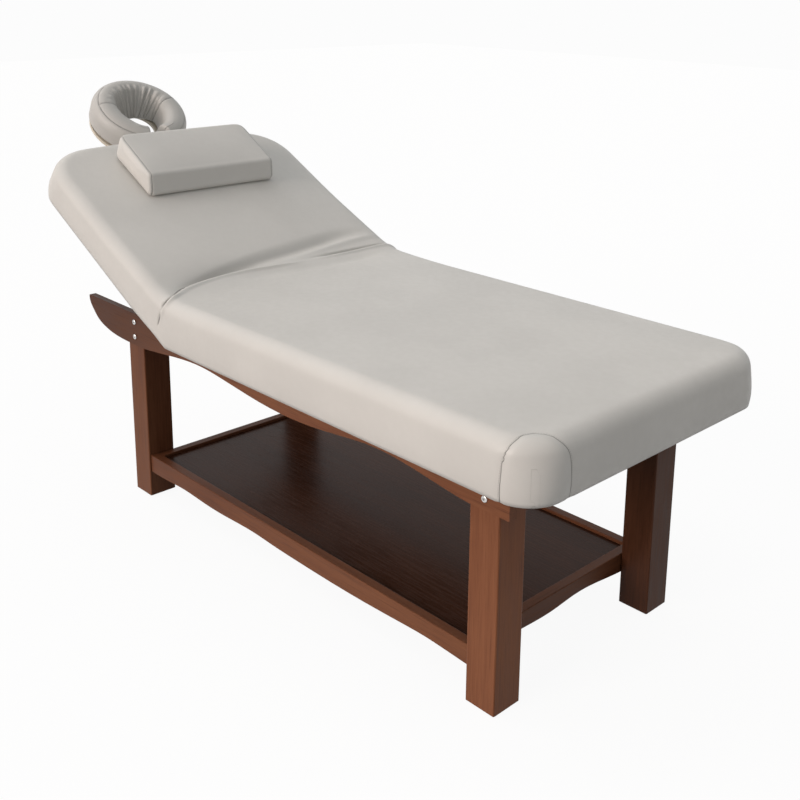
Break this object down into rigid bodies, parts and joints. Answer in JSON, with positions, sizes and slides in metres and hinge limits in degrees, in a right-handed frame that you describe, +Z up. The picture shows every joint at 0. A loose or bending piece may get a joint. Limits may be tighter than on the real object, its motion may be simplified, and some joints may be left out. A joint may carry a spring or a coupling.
{
  "type": "massage bed",
  "caption": "Fixed-height wooden massage bed with a padded top, lifting back, face cradle, loose pillow and a low storage shelf.",
  "frame": {"origin": "bottom centre of the whole bed, on the floor, with the back raised as stored", "axes": "+X towards the foot end, +Y towards the far side, +Z up"},
  "size_m": [2.0067, 0.766, 1.0595],
  "materials": {
    "stained_wood": "satin",
    "shelf_lacquer": "gloss",
    "bare_wood": "matte",
    "plywood": "matte",
    "upholstery": "satin",
    "foam": "matte",
    "plated_steel": "polished",
    "hinge_steel": "satin",
    "aluminium": "satin",
    "pale_plate": "satin",
    "fastener_strip": "matte",
    "black_plastic": "satin"
  },
  "bodies": {
    "frame": {"leg_head_near": "stained_wood", "leg_head_far": "stained_wood", "leg_foot_near": "stained_wood", "leg_foot_far": "stained_wood", "leg_glides": "black_plastic", "side_rail_near": "stained_wood", "side_rail_far": "stained_wood", "rail_bolts": "plated_steel", "rail_sleeve_nuts": "plated_steel", "cross_rail_head": "stained_wood", "cross_rail_hinge": "stained_wood", "cross_rail_middle": "stained_wood", "cross_rail_foot": "stained_wood", "frame_dowels": "bare_wood", "shelf_rail_near": "stained_wood", "shelf_rail_far": "stained_wood", "shelf_end_head": "stained_wood", "shelf_end_foot": "stained_wood", "shelf_panel": "shelf_lacquer", "shelf_bearer": "bare_wood", "shelf_dowels": "bare_wood", "seat_board": "plywood", "seat_cleats": "bare_wood", "seat_foam": "foam", "seat_cover": "upholstery", "joint_foam": "foam", "hinge_fixed_arms": "hinge_steel", "hinge_hubs": "hinge_steel", "hinge_pins": "hinge_steel", "hinge_screws_frame": "hinge_steel"},
    "back": {"back_board": "plywood", "back_battens": "bare_wood", "head_batten": "bare_wood", "hinge_blocks": "bare_wood", "back_foam": "foam", "back_cover": "upholstery", "hinge_moving_arms": "hinge_steel", "hinge_rings": "hinge_steel", "hinge_rollers": "hinge_steel", "hinge_screws_back": "hinge_steel", "cradle_sockets": "hinge_steel"},
    "cradle_mount": {"cradle_posts": "plated_steel", "cradle_bracket": "aluminium", "cradle_axle": "plated_steel"},
    "cradle": {"cradle_plate": "pale_plate", "cradle_lugs": "aluminium", "cradle_strip": "fastener_strip", "cradle_foam": "foam", "cradle_cover": "upholstery"},
    "cradle_lever": {"cradle_lever": "black_plastic"},
    "pillow": {"pillow_foam": "foam", "pillow_cover": "upholstery"}
  },
  "joints": [
    {"name": "back_raise", "type": "hinge", "parent": "frame", "child": "back", "pos_m": [-0.14263, 0, 0.478], "axis": [0, 1, 0], "range_deg": [-26.8, 33.2], "deforming": ["joint_foam"]},
    {"name": "cradle_slide", "type": "slide", "parent": "back", "child": "cradle_mount", "axis": [-0.8926, 0, 0.4509], "range_m": [0, 0.04]},
    {"name": "cradle_tilt", "type": "hinge", "parent": "cradle_mount", "child": "cradle", "pos_m": [-0.82074, 0, 0.85], "axis": [0, 1, 0], "range_deg": [-40, 3]},
    {"name": "cradle_lock", "type": "hinge", "parent": "cradle_mount", "child": "cradle_lever", "pos_m": [-0.82074, 0, 0.85], "axis": [0, 1, 0], "range_deg": [-60, 0]},
    {"name": "pillow_lift", "type": "slide", "parent": "back", "child": "pillow", "axis": [0.4509, 0, 0.8926], "range_m": [0, 0.12]}
  ]
}
